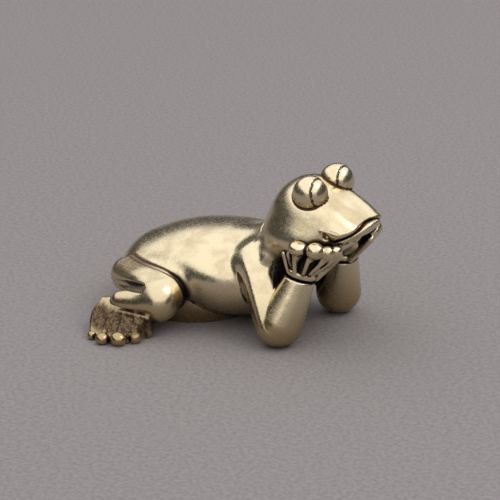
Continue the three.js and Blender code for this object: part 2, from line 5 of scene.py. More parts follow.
import bpy
import numpy as np
from mathutils import Matrix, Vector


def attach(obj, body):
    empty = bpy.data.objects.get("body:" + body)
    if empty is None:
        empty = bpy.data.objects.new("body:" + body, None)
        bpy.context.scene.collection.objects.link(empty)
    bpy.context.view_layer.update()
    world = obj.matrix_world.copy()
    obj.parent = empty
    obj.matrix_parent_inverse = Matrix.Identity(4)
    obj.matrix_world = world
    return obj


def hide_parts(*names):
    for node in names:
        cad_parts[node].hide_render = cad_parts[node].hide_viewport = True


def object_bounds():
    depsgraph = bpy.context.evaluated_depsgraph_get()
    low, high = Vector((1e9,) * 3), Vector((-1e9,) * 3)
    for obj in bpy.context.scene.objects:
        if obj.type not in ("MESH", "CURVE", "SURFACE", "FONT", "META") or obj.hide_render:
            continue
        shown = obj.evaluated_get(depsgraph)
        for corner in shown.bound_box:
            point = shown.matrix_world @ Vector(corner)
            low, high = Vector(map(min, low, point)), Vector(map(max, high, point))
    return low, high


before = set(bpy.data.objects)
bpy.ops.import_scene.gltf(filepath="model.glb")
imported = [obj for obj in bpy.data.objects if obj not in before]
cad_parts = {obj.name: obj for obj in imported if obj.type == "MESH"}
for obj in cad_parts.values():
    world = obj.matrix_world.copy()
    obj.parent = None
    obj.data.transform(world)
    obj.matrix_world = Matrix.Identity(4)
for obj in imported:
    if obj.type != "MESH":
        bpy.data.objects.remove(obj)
CAD_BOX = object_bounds()

MM = 0.001


def vec(x, y, z):
    return np.array([x, y, z], float)


# Sizes in millimetres, in a frame that starts on the ground midway between the elbows. In
# them, soft is how widely a form runs into its neighbour, crisp the same for a sharp join,
# groove the half width of the line cut where two forms meet, and fill how widely the corner
# under that line is filled first.
SEAT = dict(at=vec(-21.6, 0, 5.2), half=vec(12.2, 12.2, 7.6), down=9.6)
TORSO = dict(at=vec(-13.4, 0, 8.4), half=vec(13, 11.9, 6.4), down=7.9)
FLANK_FADE = (5, 9)
FLANK_GROOVE, FLANK_CRISP, FLANK_SOFT = 0.12, 0.3, 3
NECK = dict(start=vec(-8, 0, 9.5), end=vec(0, 0, 16), r0=5.6, r1=5)
NECK_SOFT = 2.5

HEAD_AT = vec(1, 0, 19.5)
HEAD_PITCH = math.radians(22)
HEAD_GROOVE, HEAD_CRISP = 0.25, 0.4
SKULL = dict(at=vec(0.3, 0, -2.6), half=vec(8.5, 7.6, 8.6), down=4)
JOWL = dict(at=vec(0.6, 0, 16.5), half=vec(6.9, 7.9, 3.2))
JOWL_SOFT = 2
CHEEK_AT, CHEEK_NORMAL, CHEEK_SOFT = vec(4.5, -7.1, -3), vec(0.35, -0.87, 0.34), 1.5
SNOUT = dict(at=vec(2.55, 0, -2.6), half=vec(8.7, 7.2, 7.4), down=3.2)
SNOUT_SOFT = 1.5
NOSE_AT, NOSE_NORMAL, NOSE_SOFT = vec(3.37, 0, 4.44), vec(0.777, 0, 0.629), 1.9
JAW = dict(at=vec(2.2, 0, -3), half=vec(8.5, 6.8, 5), down=3.6)
JAW_BOTTOM, JAW_SOFT = -5.4, 0.8

MOUTH_HEIGHT, MOUTH_GAP = -3.15, 0.28
MOUTH_DIP, MOUTH_DIP_FADE = 1.15, (0.5, 5)
CORNER_RISE, CORNER_FADE = 1.8, (5.6, 6.9)
MOUTH_BACK = (4.6, 5.6)
UPPER_EDGE, LOWER_EDGE = 0.3, 0.25
LIP_ROLL, LIP_ABOVE, LIP_WIDTH, LIP_FADE = 0.3, 0.5, 0.5, (1.5, 5)
LOWER_ROLL, LOWER_BELOW, LOWER_WIDTH = 0.25, 0.75, 0.4
CORNER_PIT = dict(at=vec(5.35, -7, -3.25), half=vec(0.5, 1.3, 0.75))
PIT_SOFT = 0.25

LID_AT, LID_RADIUS, LID_FRONT, LID_EDGE = vec(3.35, -3.85, 3.45), 2.75, 1.5, 0.3
LID_GROOVE, LID_CRISP = 0.08, 0.3
EYEBALL = dict(at=vec(1.35, 0, 0), half=vec(1.35, 2.1, 2.2))
EYE_GROOVE, EYE_CRISP = 0.1, 0.08
EYE_TURN = math.radians(11)

UPPER_ARM = dict(start=vec(-5.5, -6.9, 11.8), end=vec(0, -9.7, 3.3), r0=2.6, r1=2.85)
ARM_FACET, FACET_NORMAL, FACET_EDGE = 2.25, vec(0.47, -0.7, 0.54), 0.25
SHOULDER_PAD = dict(at=vec(-4.9, -6.1, 12.4), half=vec(2.7, 2.4, 2.6))
SHOULDER_KNOB_AT, SHOULDER_KNOB = vec(-3.4, -6.7, 12.9), 1.3
PAD_SOFT, KNOB_SOFT = 1.2, 0.5
WRIST = vec(2.7, -6.4, 10.65)
FOREARM = dict(start=vec(0.5, -8.6, 3.6), end=WRIST, r0=3.65, r1=2.35)
FOREARM_CUT, FOREARM_EDGE = 0.1, 0.25
CROOK_FADE, CROOK_SOFT, CROOK_CRISP = (1, 3), 1, 0.25
CUFF_TILT, CUFF_ALONG = vec(0.16, 0.22, 0.94), 0.95
CUFF_RADIUS, CUFF_HALF, CUFF_EDGE, CUFF_CRISP = 2.35, 0.55, 0.5, 0.12

HAND_CORE = vec(4.2, -5, 13.2)
PALM_DEPTH, PALM_RADII, PALM_SOFT = 0.74, (1.05, 1.2), 1.2
HAND_CRISP, HAND_SOFT, HAND_TO_HEAD = 0.2, 0.3, 0.15
FINGER_RADII, FINGER_DEPTH, FINGER_SLIM, FINGER_LAYERS = (0.28, 0.34, 0.95), 0.1, 0.02, 4
FINGERS = (
    dict(root=vec(2.95, -8.35, 12.35), mid=vec(3, -8.5, 14.4), tip=vec(3.65, -8.55, 16.55)),
    dict(root=vec(4.3, -8, 12.4), mid=vec(5.4, -8.4, 14.7), tip=vec(6.5, -8.1, 16.55)),
    dict(root=vec(5, -7.2, 12.3), mid=vec(7, -7.4, 14.3), tip=vec(8.1, -7.05, 16.25)),
    dict(root=vec(5.2, -6.2, 12.1), mid=vec(7.5, -6, 14), tip=vec(8.7, -5.6, 16.2)),
)
FINGERTIPS = (vec(1.55, 1.4, 1.1), vec(1.45, 1.4, 1.3), vec(1, 1.05, 1.1), vec(0.8, 0.85, 0.9))
REAR_FINGER = dict(start=vec(1.4, -7.6, 11.9), end=vec(0.75, -8, 15), r0=0.3, r1=0.4)
REAR_STEP, REAR_LAYERS = vec(0.6, 0.5, 0), 3
THUMB = dict(start=vec(4.8, -5, 10.9), end=vec(8.7, -4.6, 15.2), r0=0.55, r1=0.6)

THIGH = dict(start=vec(-28, -9.6, 6.1), end=vec(-17.9, -14.35, 6.05), r0=2.9, r1=2.85)
SHIN = dict(start=vec(-17.9, -15.4, 4.9), end=vec(-24.2, -16.4, 4.3), r0=2.75, r1=1.9)
LEG_SLOT = dict(start=vec(-20.4, -16.9, 7.6), end=vec(-29.6, -12.8, 5.3), r0=0.75, r1=0.7)
SHIN_SOFT, SLOT_EDGE = 1.8, 0.3
SLOT_STEP, SLOT_LAYERS = vec(-0.5, 0.75, -0.3), 2

WEB_AT, WEB_REAR, WEB_FRONT, WEB_OUT, WEB_EDGE = vec(-23, -18, 0), 5.2, 4.7, 5.3, 0.5
WEB_HEIGHT, WEB_FALL, WEB_TOP = 3.75, 0.57, 3.7
WEB_RIM = dict(start=vec(-23.9, -18.8, 3.6), end=vec(-17.9, -18.3, 3.5), r0=0.35, r1=0.4)
HEEL = dict(start=vec(-26.4, -16.8, 3.5), end=vec(-24.4, -17.6, 2.2), r0=1.35, r1=2.1)
HEEL_SOFT = 1
INSTEP = (vec(-27.4, -17.1, 0), vec(-18.1, -17.9, 0))
TOE_REACH, TOE_FIRST, TOE_STEP, TOE_SINK = vec(4.8, 5.7, 0), -117, 30.5, 0.12
TOE_BALLS = (
    vec(0.75, 0.75, 0.75),
    vec(1.1, 1.1, 0.95),
    vec(1.35, 1.25, 1.1),
    vec(1.05, 1.1, 1),
    vec(0.75, 0.8, 0.8),
)
TOE_CRISP = 0.15
RIDGE, RIDGE_END, RIDGE_PROUD, RIDGE_CRISP = 0.34, 0.5, 0.05, 0.35
OUTER_RIDGE, OUTER_ROOT, OUTER_BOW = 0.45, vec(-27.4, -17.1, 4.2), vec(-1.2, 0.9, 0.3)

LIMB_GROOVE, LIMB_CRISP, LIMB_SOFT, LIMB_FADE = 0.25, 0.4, 3, (9, 13.5)
ARM_FILL, LEG_FILL, KNEE_FILL, LEG_FADE = 1.2, 1.2, 3, (-25, -19)


def unit(a):
    return a / np.linalg.norm(a)


def span(q):
    return np.sqrt(np.einsum("ij,ij->i", q, q))


def mix(a, b, t):
    return a + (b - a) * t


def ramp(ends, x):
    t = np.clip((x - ends[0]) / (ends[1] - ends[0]), 0, 1)
    return t * t * (3 - 2 * t)


def join(a, b, soft):
    """Two distances joined, softly where they are alike."""
    h = np.maximum(soft - np.abs(a - b), 0) / soft
    return np.minimum(a, b) - h * h * soft * 0.25


def meet(a, b, soft):
    return -join(-a, -b, soft)


def join_with_groove(a, b, width, soft, fill=0.02):
    """Two forms joined with a round groove cut along the line where they meet."""
    top = fill / 4
    return meet(join(a, b, fill), width - np.hypot(a - top, b - top), soft)


def ellipsoid(p, at, half, down=None):
    q = p - at
    high = half[2] if down is None else np.where(q[:, 2] > 0, half[2], down)
    x, y, z = q[:, 0] / half[0], q[:, 1] / half[1], q[:, 2] / high
    k0 = np.sqrt(x * x + y * y + z * z)
    k1 = np.sqrt((x / half[0]) ** 2 + (y / half[1]) ** 2 + (z / high) ** 2)
    return k0 * (k0 - 1) / np.maximum(k1, 1e-9)


def rod(p, start, end, r0, r1):
    """A rod with round ends, whose radius goes from r0 to r1."""
    along = end - start
    off = p - start
    l2 = along @ along
    rr = r0 - r1
    a2 = l2 - rr * rr
    y = off @ along
    z = y - l2
    side = off * l2 - y[:, None] * along
    x2 = np.einsum("ij,ij->i", side, side)
    y2, z2 = y * y * l2, z * z * l2
    k = np.sign(rr) * rr * rr * x2
    middle = (np.sqrt(x2 * a2 / l2) + y * rr) / l2 - r0
    low = np.sqrt(x2 + y2) / l2 - r0
    high = np.sqrt(x2 + z2) / l2 - r1
    return np.where(np.sign(z) * a2 * z2 > k, high, np.where(np.sign(y) * a2 * y2 < k, low, middle))


def within(p, centre, reach, form):
    """form(p) near a place. Further off, a smaller distance that still keeps clear of it."""
    margin = 1.5
    d = span(p - centre) - reach + margin
    close = d < margin
    if close.any():
        d[close] = form(p[close])
    return d


def body(p):
    seat = ellipsoid(p, **SEAT)
    torso = ellipsoid(p, **TORSO)
    folded = join_with_groove(seat, torso, FLANK_GROOVE, FLANK_CRISP)
    trunk = mix(folded, join(seat, torso, FLANK_SOFT), ramp(FLANK_FADE, p[:, 2]))
    return join(trunk, rod(p, **NECK), NECK_SOFT)


PITCH_COS, PITCH_SIN = math.cos(HEAD_PITCH), math.sin(HEAD_PITCH)
EYE_COS, EYE_SIN = math.cos(EYE_TURN), math.sin(EYE_TURN)
IN_HEAD = np.array([[PITCH_COS, 0, -PITCH_SIN], [0, 1, 0], [PITCH_SIN, 0, PITCH_COS]])
SHUT = 30


def mouth_line(side):
    return MOUTH_HEIGHT - MOUTH_DIP * ramp(MOUTH_DIP_FADE, side) + CORNER_RISE * ramp(CORNER_FADE, side)


def face(q):
    skull = join(ellipsoid(q, **SKULL), ellipsoid(q, **SNOUT), SNOUT_SOFT)
    skull = meet(skull, (q - CHEEK_AT) @ unit(CHEEK_NORMAL), CHEEK_SOFT)
    side = np.abs(q[:, 1])
    mouth = q[:, 2] - mouth_line(side)
    front = ramp(MOUTH_BACK, q[:, 0])
    shut = SHUT * (1 - front)
    roll = LIP_ROLL * front * ramp(LIP_FADE, side) * np.exp(-(((mouth - LIP_ABOVE) / LIP_WIDTH) ** 2))
    top = meet(skull, (q - NOSE_AT) @ unit(NOSE_NORMAL), NOSE_SOFT) - roll
    lower_roll = LOWER_ROLL * front * np.exp(-(((mouth + LOWER_BELOW) / LOWER_WIDTH) ** 2))
    jaw = meet(ellipsoid(q, **JAW), JAW_BOTTOM - q[:, 2], JAW_SOFT) - lower_roll
    upper = meet(top, -mouth - shut, UPPER_EDGE)
    lower = meet(jaw, mouth + MOUTH_GAP - shut, LOWER_EDGE)
    return meet(np.minimum(upper, lower), -ellipsoid(q, **CORNER_PIT), PIT_SOFT)


def head(p):
    """The eyes look a little lower than the head, by their own turn."""
    q = (p - HEAD_AT) @ IN_HEAD
    off = q - LID_AT
    ahead = off[:, 0] * EYE_COS - off[:, 2] * EYE_SIN
    level = np.stack([ahead, off[:, 1], off[:, 0] * EYE_SIN + off[:, 2] * EYE_COS], 1)
    lid = meet(span(off) - LID_RADIUS, ahead - LID_FRONT, LID_EDGE)
    skull = join(face(q), ellipsoid(p, **JOWL), JOWL_SOFT)
    socketed = join_with_groove(skull, lid, LID_GROOVE, LID_CRISP)
    return join_with_groove(socketed, ellipsoid(level, **EYEBALL), EYE_GROOVE, EYE_CRISP)


CUFF_AXIS = unit(CUFF_TILT)
CUFF_AT = WRIST + CUFF_AXIS * CUFF_ALONG


def arm(p):
    middle = mix(UPPER_ARM["start"], UPPER_ARM["end"], 0.5)
    upper = join(rod(p, **UPPER_ARM), ellipsoid(p, **SHOULDER_PAD), PAD_SOFT)
    upper = meet(upper, (p - middle) @ unit(FACET_NORMAL) - ARM_FACET, FACET_EDGE)
    upper = join(upper, span(p - SHOULDER_KNOB_AT) - SHOULDER_KNOB, KNOB_SOFT)
    fore = meet(rod(p, **FOREARM), (p - WRIST) @ CUFF_AXIS - FOREARM_CUT, FOREARM_EDGE)
    soft, crisp = join(upper, fore, CROOK_SOFT), join(upper, fore, CROOK_CRISP)
    return mix(soft, crisp, ramp(CROOK_FADE, p[:, 2]))


def finger_rods(line):
    """The two rods of each layer of a finger, from its front towards the palm."""
    rods = []
    for layer in range(FINGER_LAYERS):
        root, mid, tip = (mix(line[k], HAND_CORE, layer * FINGER_DEPTH) for k in ("root", "mid", "tip"))
        r0, r1, r2 = (r - layer * FINGER_SLIM for r in FINGER_RADII)
        rods.append((dict(start=root, end=mid, r0=r0, r1=r1), dict(start=mid, end=tip, r0=r1, r1=r2)))
    return rods


FINGER_RODS = [finger_rods(line) for line in FINGERS]


def palm_rod(line):
    """The part of the palm behind a finger."""
    end = mix(line["tip"], HAND_CORE, PALM_DEPTH)
    return dict(start=CUFF_AT, end=end, r0=PALM_RADII[0], r1=PALM_RADII[1])


PALM_RODS = [palm_rod(line) for line in FINGERS]


def hand(p):
    d = rod(p, **PALM_RODS[0])
    for part in PALM_RODS[1:]:
        d = join(d, rod(p, **part), PALM_SOFT)
    for line, half, layers in zip(FINGERS, FINGERTIPS, FINGER_RODS):
        finger = ellipsoid(p, line["tip"], half)
        for low, high in layers:
            finger = join(finger, np.minimum(rod(p, **low), rod(p, **high)), HAND_SOFT)
        d = join(d, finger, HAND_CRISP)
    for i in range(REAR_LAYERS):
        d = join(d, rod(p - REAR_STEP * i, **REAR_FINGER), HAND_SOFT)
    d = join(d, rod(p, **THUMB), HAND_SOFT)
    off = p - CUFF_AT
    along = off @ CUFF_AXIS
    out = np.sqrt(np.maximum(np.einsum("ij,ij->i", off, off) - along * along, 0))
    return join(d, meet(out - CUFF_RADIUS, np.abs(along) - CUFF_HALF, CUFF_EDGE), CUFF_CRISP)


def leg(p):
    d = join(rod(p, **THIGH), rod(p, **SHIN), SHIN_SOFT)
    for i in range(SLOT_LAYERS):
        d = meet(d, -rod(p - SLOT_STEP * i, **LEG_SLOT), SLOT_EDGE)
    return d


def on_web(at):
    """The same place at the height of a ridge's centre line on the web."""
    return vec(at[0], at[1], min(WEB_HEIGHT + WEB_FALL * (at[1] - WEB_AT[1]), WEB_TOP) + RIDGE_PROUD)


def toe_forms():
    """Each toe's ball on the rim of the web, and the two rods of the ridge that runs to it."""
    forms = []
    for i, half in enumerate(TOE_BALLS):
        angle = math.radians(TOE_FIRST + TOE_STEP * i)
        reach = vec(math.cos(angle), math.sin(angle), 0) * TOE_REACH
        at = WEB_AT + reach + vec(0, 0, half[2] - TOE_SINK)
        if i == 0:
            r, root = OUTER_RIDGE, OUTER_ROOT
            mid = mix(root, at, 0.5) + OUTER_BOW
        else:
            r, root = RIDGE, on_web(mix(*INSTEP, i / (len(TOE_BALLS) - 1)))
            mid = on_web(mix(root, at, 0.5))
        low, high = dict(start=root, end=mid, r0=r, r1=r), dict(start=mid, end=at, r0=r, r1=RIDGE_END)
        forms.append((dict(at=at, half=half), low, high))
    return forms


TOE_FORMS = toe_forms()
WEB_SCALE = 5


def foot(p):
    q = p - WEB_AT
    reach = np.where(q[:, 0] > 0, WEB_FRONT, WEB_REAR)
    outline = (np.hypot(q[:, 0] / reach, q[:, 1] / WEB_OUT) - 1) * WEB_SCALE
    slope = (q - vec(0, 0, WEB_HEIGHT)) @ unit(vec(0, -WEB_FALL, 1))
    web = meet(meet(outline, slope, WEB_EDGE), p[:, 2] - WEB_TOP, WEB_EDGE)
    d = join(web, rod(p, **HEEL), HEEL_SOFT)
    for ball, low, high in TOE_FORMS:
        d = join(d, np.minimum(rod(p, **low), rod(p, **high)), RIDGE_CRISP)
        d = join(d, ellipsoid(p, **ball), TOE_CRISP)
    return join(d, rod(p, **WEB_RIM), HAND_SOFT)


HAND_BOUND = (vec(4.6, -6.5, 14), 8.5)
FOOT_BOUND = (vec(-23, -18, 2.5), 10.5)


def frog(points):
    """Distance to the whole figure, negative inside."""
    p = np.array(points, float)
    p[:, 1] = -np.abs(p[:, 1])
    d = join_with_groove(body(p), head(p), HEAD_GROOVE, HEAD_CRISP)
    limb = arm(p)
    creased = join_with_groove(d, limb, LIMB_GROOVE, LIMB_CRISP, ARM_FILL)
    d = mix(creased, join(d, limb, LIMB_SOFT), ramp(LIMB_FADE, p[:, 2]))
    d = join(d, within(p, *HAND_BOUND, hand), HAND_TO_HEAD)
    fill = mix(LEG_FILL, KNEE_FILL, ramp(LEG_FADE, p[:, 0]))
    d = join_with_groove(d, leg(p), LIMB_GROOVE, LIMB_CRISP, fill)
    d = join(d, within(p, *FOOT_BOUND, foot), HAND_SOFT)
    return np.maximum(d, -points[:, 2])


# Patina left on purpose on the web, painted shade on top of the hips and painted black shade on the hand
# behind the fingers:
# where each is, and how it fades across its rim. The first fade of the hand is how far behind the fronts of
# the fingers the painted black shade starts and is full.
WEB_STAIN = dict(at=vec(-23, -18, 2.2), half=vec(6.6, 5, 3))
WEB_STAIN_TOP, WEB_STAIN_FADE = 4.2, (-0.9, 0.4)
# Painted shade: a dark reflection on top of the hips.
HIP_SHADE = dict(at=vec(-26.5, -11.5, 8.6), half=vec(4, 3, 2))
HIP_SHADE_DEPTH, HIP_SHADE_FADE = 0.6, (-1.8, 0.6)
FINGER_SHADE_AREA = dict(at=vec(5.2, -7.3, 13.9), half=vec(3.9, 2.6, 1.9))
FINGER_SHADE_FADE, FINGER_SHADE_EDGE = (0.04, 0.2), (-0.4, 0.2)

# Each hollowness that the metal uses, and the distances in millimetres that it is the mean of.
REACHES = (("crevice", [0.35]), ("hollow", [0.9]), ("recess", [0.9, 1.6, 2.6]))

# Surface: its triangles, the spacing of the samples in millimetres and of the blocks in samples.
TRIANGLES = 190000
CELL = 0.2
BLOCK = 8
FIELD_LOW = vec(-35.2, -25.6, -0.7)
FIELD_HIGH = vec(13, 0, 29)
CHUNK = 300000


def sample_half():
    """The field on a grid over the left half; blocks clear of the surface hold only a sign."""
    blocks = np.ceil((FIELD_HIGH - FIELD_LOW) / (CELL * BLOCK)).astype(int)
    count = blocks * BLOCK + 1
    middles = [FIELD_LOW[i] + (np.arange(blocks[i]) + 0.5) * BLOCK * CELL for i in range(3)]
    far = frog(np.stack(np.meshgrid(*middles, indexing="ij"), -1).reshape(-1, 3)).reshape(blocks)
    values = np.ones(count, np.float32)
    values[:-1, :-1, :-1] = np.sign(far).repeat(BLOCK, 0).repeat(BLOCK, 1).repeat(BLOCK, 2)
    near = np.argwhere(np.abs(far) < BLOCK * CELL * 1.5)
    inner = np.stack(np.meshgrid(*[np.arange(BLOCK + 1)] * 3, indexing="ij"), -1).reshape(-1, 3)
    flat = np.unique(np.ravel_multi_index((near[:, None] * BLOCK + inner).reshape(-1, 3).T, count))
    places = np.stack(np.unravel_index(flat, count), -1) * CELL + FIELD_LOW
    found = [frog(places[i : i + CHUNK]) for i in range(0, len(places), CHUNK)]
    values.reshape(-1)[flat] = np.concatenate(found)
    return values


def surface_nets(values):
    """One point in each cell that the surface crosses, and a quad round each crossed edge."""
    inside = values < 0
    count = np.array(values.shape)
    total = np.zeros(tuple(count - 1) + (3,), np.float32)
    number = np.zeros(count - 1, np.float32)
    halves = (slice(0, -1), slice(1, None))
    for axis in range(3):
        one, two = [a for a in range(3) if a != axis]
        for i in (0, 1):
            for j in (0, 1):
                first = [None] * 3
                first[axis], first[one], first[two] = halves[0], halves[i], halves[j]
                second = list(first)
                second[axis] = halves[1]
                a, b = values[tuple(first)], values[tuple(second)]
                crossed = (a < 0) != (b < 0)
                total[..., axis] += np.where(crossed, a / np.where(crossed, a - b, 1), 0)
                total[..., one] += crossed * i
                total[..., two] += crossed * j
                number += crossed
    cells = np.argwhere(number > 0)
    index = np.full(count - 1, -1, np.int64)
    index[tuple(cells.T)] = np.arange(len(cells))
    share = total[tuple(cells.T)] / number[tuple(cells.T)][:, None]
    points = FIELD_LOW + (cells + share) * CELL
    quads = []
    for axis in range(3):
        one, two = (axis + 1) % 3, (axis + 2) % 3
        first, second = [slice(None)] * 3, [slice(None)] * 3
        first[axis], second[axis] = halves
        edges = np.argwhere(inside[tuple(first)] != inside[tuple(second)])
        outward = inside[tuple(edges.T)]
        around = []
        for di, dj in ((-1, -1), (0, -1), (0, 0), (-1, 0)):
            at = edges.copy()
            at[:, one] += di
            at[:, two] += dj
            around.append(index[tuple(at.T)])
        quad = np.stack(around, 1)
        quad[~outward] = quad[~outward][:, ::-1]
        quads.append(quad)
    return points, np.concatenate(quads)


def slope_of(points, step=0.02):
    """The field's gradient, from the corners of a small tetrahedron."""
    corners = np.array([[1, -1, -1], [-1, -1, 1], [-1, 1, -1], [1, 1, 1]], float)
    return sum(frog(points + step * c)[:, None] * c for c in corners) / (4 * step)


def settle(points, rounds=2, most=0.12):
    """Moves points onto the surface."""
    for _ in range(rounds):
        slope = slope_of(points)
        steep = np.maximum(np.einsum("ij,ij->i", slope, slope), 0.05)
        step = slope * (frog(points) / steep)[:, None]
        step *= np.minimum(1, most / np.maximum(span(step), 1e-9))[:, None]
        points = points - step
    return points


def thinned(points, quads, triangles):
    """A mesh of about so many triangles, from Blender's own edge collapse."""
    mesh = bpy.data.meshes.new("dense")
    mesh.from_pydata(points.tolist(), [], quads.tolist())
    dense = bpy.data.objects.new("dense", mesh)
    bpy.context.scene.collection.objects.link(dense)
    collapse = dense.modifiers.new("thin", "DECIMATE")
    collapse.ratio = triangles / (2 * len(quads))
    thin = bpy.data.meshes.new_from_object(dense.evaluated_get(bpy.context.evaluated_depsgraph_get()))
    bpy.data.objects.remove(dense)
    bpy.data.meshes.remove(mesh)
    return thin


def read_points(mesh):
    flat = np.empty(3 * len(mesh.vertices))
    mesh.vertices.foreach_get("co", flat)
    return flat.reshape(-1, 3)


def store(mesh, name, values):
    layer = mesh.attributes.new(name, "FLOAT", "POINT")
    layer.data.foreach_set("value", values.astype(np.float32))


def hollowness(points, normals, reach):
    """0 on an open surface, towards 1 in a hollow about as wide as reach."""
    return np.clip(1 - frog(points + normals * reach) / reach, 0, 1)


def between_fingers(p):
    """Painted black shade: 1 on the hand where it lies behind the fronts of the fingers, and 0 on the
    fingers.
    """
    fronts = np.min([rod(p, **part) for layers in FINGER_RODS for part in layers[0]], axis=0)
    tips = np.min([ellipsoid(p, line["tip"], half) for line, half in zip(FINGERS, FINGERTIPS)], axis=0)
    behind = ramp(FINGER_SHADE_FADE, np.minimum(fronts, tips))
    inside = 1 - ramp(FINGER_SHADE_EDGE, ellipsoid(p, **FINGER_SHADE_AREA))
    return behind * inside


def web_patina_and_hip_shade(p):
    """1 on the web of the feet, where dark patina was left on purpose, and up to 0.6 on top of the hips,
    where a dark reflection is painted as shade.
    """
    web = 1 - ramp(WEB_STAIN_FADE, np.maximum(ellipsoid(p, **WEB_STAIN), p[:, 2] - WEB_STAIN_TOP))
    hip = 1 - ramp(HIP_SHADE_FADE, ellipsoid(p, **HIP_SHADE))
    return np.maximum(web, HIP_SHADE_DEPTH * hip)


def cast_frog():
    left = sample_half()
    whole = np.concatenate([left, left[:, -2::-1]], axis=1)
    points, quads = surface_nets(whole)
    mesh = thinned(points, quads, TRIANGLES)
    points = settle(read_points(mesh))
    points[:, 2] = np.maximum(points[:, 2], 0)
    slope = slope_of(points)
    normals = slope / np.maximum(span(slope), 1e-9)[:, None]
    for name, reaches in REACHES:
        store(mesh, name, np.mean([hollowness(points, normals, reach) for reach in reaches], 0))
    near = points.copy()
    near[:, 1] = -np.abs(near[:, 1])
    # Dark patina on the web, and a dark reflection painted as shade on top of the hips.
    store(mesh, "web_patina_and_hip_shade", web_patina_and_hip_shade(near))
    # Painted black shade behind the fronts of the fingers.
    store(mesh, "finger_shade", between_fingers(near))
    store(mesh, "height", points[:, 2])
    low, high = (np.array(corner) / MM for corner in CAD_BOX)
    middle = (points.min(0) + points.max(0)) / 2
    shift = vec((low[0] + high[0]) / 2 - middle[0], 0, low[2])
    mesh.vertices.foreach_set("co", ((points + shift) * MM).ravel())
    mesh.shade_smooth()
    mesh.update()
    return mesh, shift


class Tree:
    """Short calls for a material's nodes."""

    def __init__(self, name):
        self.material = bpy.data.materials.new(name)
        self.material.use_nodes = True
        self.nodes = self.material.node_tree.nodes
        self.links = self.material.node_tree.links
        self.nodes.clear()

    def add(self, kind, inputs=None, **settings):
        made = self.nodes.new("ShaderNode" + kind)
        for key, value in settings.items():
            setattr(made, key, value)
        for key, value in (inputs or {}).items():
            self.put(made.inputs[key], value)
        return made

    def put(self, socket, value):
        if hasattr(value, "is_output"):
            self.links.new(value, socket)
        else:
            socket.default_value = value

    def attribute(self, name):
        return self.add("Attribute", attribute_name=name).outputs["Fac"]

    def math(self, operation, a, b=0.0, clamp=False):
        made = self.add("Math", {0: a, 1: b}, operation=operation)
        made.use_clamp = clamp
        return made.outputs[0]

    def scaled(self, value, by, plus):
        return self.add("Math", {0: value, 1: by, 2: plus}, operation="MULTIPLY_ADD").outputs[0]

    def step(self, value, low, high, to_low=0.0, to_high=1.0):
        fade = {"Value": value, "From Min": low, "From Max": high, "To Min": to_low, "To Max": to_high}
        return self.add("MapRange", fade, interpolation_type="SMOOTHSTEP").outputs["Result"]

    def noise(self, scale, detail=3.0, roughness=0.55, vector=None):
        inputs = {"Scale": scale, "Detail": detail, "Roughness": roughness}
        if vector is not None:
            inputs["Vector"] = vector
        return self.add("TexNoise", inputs).outputs["Fac"]

    def blend(self, share, a, b):
        made = self.add("Mix", data_type="RGBA")
        self.put(made.inputs["Factor"], share)
        for socket, value in zip([s for s in made.inputs if s.type == "RGBA"], (a, b)):
            self.put(socket, value)
        return next(s for s in made.outputs if s.type == "RGBA")


def shade(red, green, blue):
    """A colour from its 0 to 255 screen values."""
    linear = [(c / 255 / 12.92) if c < 11 else ((c / 255 + 0.055) / 1.055) ** 2.4 for c in (red, green, blue)]
    return (*linear, 1.0)


# Colours of the brass: the polished metal, a warmer tarnish that is also painted as shade on the lowest
# parts, the red-brown patina in the grooves, and black painted as shade at the bottom of the deepest hollows
# and behind the fingers, which also darkens the web's patina. Tarnish, patina and black are also painted on
# top of the hips as a dark reflection.
BRASS = shade(231, 215, 181)
TARNISH_AND_LOW_SHADE = shade(158, 130, 82)
PATINA = shade(88, 54, 34)
BLACK_SHADE_AND_PATINA = shade(20, 14, 10)


